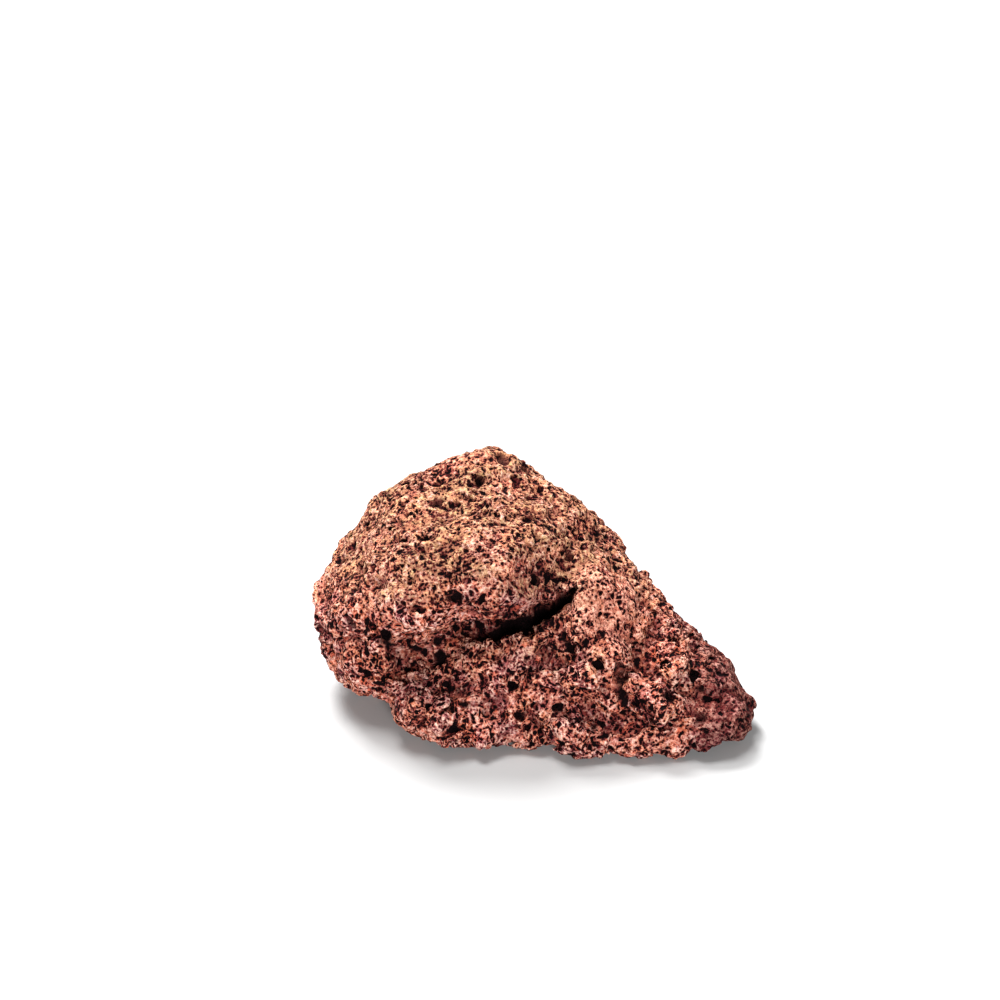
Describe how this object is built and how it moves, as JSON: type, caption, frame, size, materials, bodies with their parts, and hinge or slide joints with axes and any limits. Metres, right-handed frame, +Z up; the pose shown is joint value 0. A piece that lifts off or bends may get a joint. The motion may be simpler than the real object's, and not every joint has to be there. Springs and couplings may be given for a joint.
{
  "type": "lava rock",
  "caption": "Loose piece of red lava rock (scoria) with an open, bubbly surface: a domed lump with a cleft under the dome, tapering to a low point.",
  "frame": {"origin": "centre of the footprint box, on the surface the stone lies on", "axes": "+Z up as it lies; +X along the stone from the blunt domed end to the low pointed end; -Y is the face with the cleft"},
  "size_m": [0.134, 0.0896, 0.0739],
  "materials": {
    "scoria": "rough and matt, full of open gas bubbles; tan-pink on its top, red-brown below, dark maroon inside the bubbles"
  },
  "bodies": {
    "root": {"lava_rock": "scoria"}
  },
  "joints": []
}
